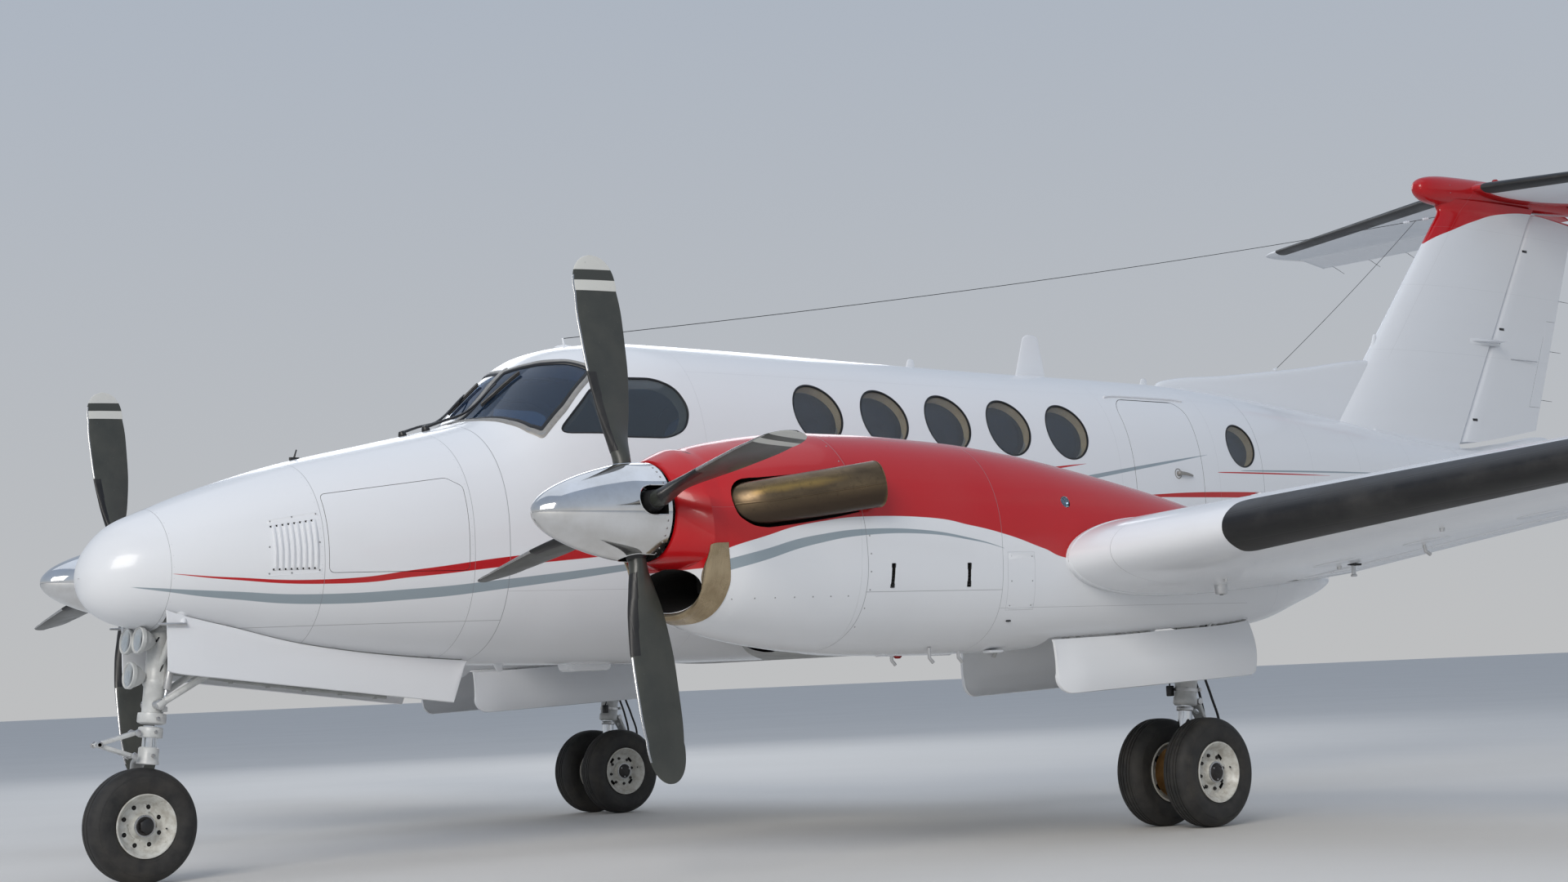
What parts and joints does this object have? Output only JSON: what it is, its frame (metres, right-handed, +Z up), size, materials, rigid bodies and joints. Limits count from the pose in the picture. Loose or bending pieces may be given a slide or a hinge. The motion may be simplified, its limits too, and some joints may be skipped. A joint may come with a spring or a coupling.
{
  "type": "twin turboprop aircraft",
  "caption": "Low-wing executive turboprop aircraft with a T tail, engine nacelles on the wings, feathered propellers and lowered tricycle landing gear.",
  "frame": {"origin": "on the ground, under the middle of the aircraft's length and wing span", "axes": "+X to the port (left) wing tip, -Y towards the nose, +Z up"},
  "size_m": [16.61, 13.34, 4.515],
  "materials": {
    "paint_white": "gloss",
    "paint_red": "gloss",
    "radome_white": "gloss",
    "tinted_glass": "polished",
    "tinted_acrylic": "polished",
    "cabin_trim": "matte",
    "seat_cloth": "matte",
    "heated_steel": "satin",
    "gear_paint": "satin",
    "blade_grey": "satin",
    "polished_metal": "polished",
    "wheel_alloy": "satin",
    "tyre_black": "matte"
  },
  "bodies": {
    "airframe": {"nose_cone": "radome_white", "nose_section": "paint_white", "cabin_shell": "paint_white", "windshield": "tinted_glass", "side_window_left": "tinted_acrylic", "side_window_right": "tinted_acrylic", "cabin_windows_left": "tinted_acrylic", "cabin_windows_right": "tinted_acrylic", "aft_windows": "tinted_acrylic", "cabin_floor": "cabin_trim", "instrument_panel": "cabin_trim", "seats": "seat_cloth", "aft_fuselage": "paint_white", "tail_cone": "paint_white", "stabilizer": "paint_white", "tail_fin": "paint_white", "cowling_left": "paint_red", "cowling_right": "paint_red", "wing_center": "paint_white", "nacelle_left": "paint_white", "nacelle_right": "paint_white", "wing_left": "paint_white", "wing_right": "paint_white", "engine_left": "heated_steel", "engine_right": "heated_steel", "main_gear_leg_left": "gear_paint", "main_gear_leg_right": "gear_paint", "nose_gear_leg": "gear_paint", "nose_gear_door_left": "paint_white", "nose_gear_door_right": "paint_white", "main_gear_door_left_outer": "paint_white", "main_gear_door_left_inner": "paint_white", "main_gear_door_right_outer": "paint_white", "main_gear_door_right_inner": "paint_white"},
    "prop_left": {"propeller_left": "blade_grey", "spinner_left": "polished_metal"},
    "prop_right": {"propeller_right": "blade_grey", "spinner_right": "polished_metal"},
    "main_wheels_left": {"main_rims_left": "wheel_alloy", "main_tyre_left_outer": "tyre_black", "main_tyre_left_inner": "tyre_black"},
    "main_wheels_right": {"main_rims_right": "wheel_alloy", "main_tyre_right_outer": "tyre_black", "main_tyre_right_inner": "tyre_black"},
    "nose_fork": {"nose_gear_fork": "gear_paint"},
    "nose_wheel": {"nose_rim": "wheel_alloy", "nose_tyre": "tyre_black"},
    "cabin_door_body": {"cabin_door": "paint_white"},
    "exit_hatch": {"emergency_exit": "paint_white"},
    "avionics_hatch_left": {"avionics_door_left": "paint_white"},
    "avionics_hatch_right": {"avionics_door_right": "paint_white"},
    "elevator_body": {"elevator": "paint_white"},
    "rudder_body": {"rudder": "paint_white"},
    "aileron_left_body": {"aileron_left": "paint_white"},
    "aileron_right_body": {"aileron_right": "paint_white"},
    "flap_left_inner_body": {"flap_left_inner": "paint_white"},
    "flap_left_outer_body": {"flap_left_outer": "paint_white"},
    "flap_right_inner_body": {"flap_right_inner": "paint_white"},
    "flap_right_outer_body": {"flap_right_outer": "paint_white"}
  },
  "joints": [
    {"name": "prop_spin_left", "type": "hinge", "parent": "airframe", "child": "prop_left", "pos_m": [2.615, -5.28, 1.6], "axis": [0, 1, 0], "continuous": true},
    {"name": "prop_spin_right", "type": "hinge", "parent": "airframe", "child": "prop_right", "pos_m": [-2.615, -5.28, 1.6], "axis": [0, 1, 0], "continuous": true},
    {"name": "main_wheel_spin_left", "type": "hinge", "parent": "airframe", "child": "main_wheels_left", "pos_m": [2.615, -1.81, 0.2795], "axis": [1, 0, 0], "continuous": true},
    {"name": "main_wheel_spin_right", "type": "hinge", "parent": "airframe", "child": "main_wheels_right", "pos_m": [-2.615, -1.81, 0.2795], "axis": [1, 0, 0], "continuous": true},
    {"name": "nose_steering", "type": "hinge", "parent": "airframe", "child": "nose_fork", "pos_m": [0, -6.314, 0.76], "axis": [0, 0.1223, 0.9925], "range_deg": [-48, 48]},
    {"name": "nose_wheel_spin", "type": "hinge", "parent": "nose_fork", "child": "nose_wheel", "pos_m": [0, -6.38, 0.2795], "axis": [1, 0, 0], "continuous": true},
    {"name": "cabin_door_hinge", "type": "hinge", "parent": "airframe", "child": "cabin_door_body", "pos_m": [0.605, 0.33, 1.238], "axis": [0, 1, 0], "range_deg": [0, 120]},
    {"name": "exit_slide", "type": "slide", "parent": "airframe", "child": "exit_hatch", "axis": [1, 0, 0], "range_m": [0, 0.25]},
    {"name": "avionics_hinge_left", "type": "hinge", "parent": "airframe", "child": "avionics_hatch_left", "pos_m": [0.488, -5.27, 1.909], "axis": [-0.1774, -0.9763, -0.1237], "range_deg": [0, 75]},
    {"name": "avionics_hinge_right", "type": "hinge", "parent": "airframe", "child": "avionics_hatch_right", "pos_m": [-0.488, -5.27, 1.909], "axis": [-0.1774, 0.9763, 0.1237], "range_deg": [0, 75]},
    {"name": "elevator_hinge", "type": "hinge", "parent": "airframe", "child": "elevator_body", "pos_m": [0, 6.02, 4.42], "axis": [1, 0, 0], "range_deg": [0, 34]},
    {"name": "rudder_hinge", "type": "hinge", "parent": "airframe", "child": "rudder_body", "pos_m": [0, 4.381, 2.36], "axis": [0, 0.5285, 0.849], "range_deg": [-25, 25]},
    {"name": "aileron_left_hinge", "type": "hinge", "parent": "airframe", "child": "aileron_left_body", "pos_m": [5.8, -1.368, 1.6611], "axis": [0.9936, 0.0201, 0.1113], "range_deg": [-16, 25]},
    {"name": "aileron_right_hinge", "type": "hinge", "parent": "airframe", "child": "aileron_right_body", "pos_m": [-5.8, -1.368, 1.6611], "axis": [0.9936, -0.0201, -0.1113], "range_deg": [-16, 25]},
    {"name": "flap_left_outer_hinge", "type": "hinge", "parent": "airframe", "child": "flap_left_outer_body", "pos_m": [3.11, -1.3966, 1.2328], "axis": [-0.9925, -0.0188, -0.1209], "range_deg": [0, 35]},
    {"name": "flap_left_inner_hinge", "type": "hinge", "parent": "airframe", "child": "flap_left_inner_body", "pos_m": [0.82, -1.3921, 1.0247], "axis": [-0.996, 0.0024, -0.0897], "range_deg": [0, 35]},
    {"name": "flap_right_outer_hinge", "type": "hinge", "parent": "airframe", "child": "flap_right_outer_body", "pos_m": [-3.11, -1.3966, 1.2328], "axis": [-0.9925, 0.0188, 0.1209], "range_deg": [0, 35]},
    {"name": "flap_right_inner_hinge", "type": "hinge", "parent": "airframe", "child": "flap_right_inner_body", "pos_m": [-0.82, -1.3921, 1.0247], "axis": [-0.996, -0.0024, 0.0897], "range_deg": [0, 35]}
  ],
  "couplings": [
    {"joint": "flap_left_inner_hinge", "follows": "flap_left_outer_hinge", "ratio": 1},
    {"joint": "flap_right_outer_hinge", "follows": "flap_left_outer_hinge", "ratio": 1},
    {"joint": "flap_right_inner_hinge", "follows": "flap_left_outer_hinge", "ratio": 1}
  ]
}
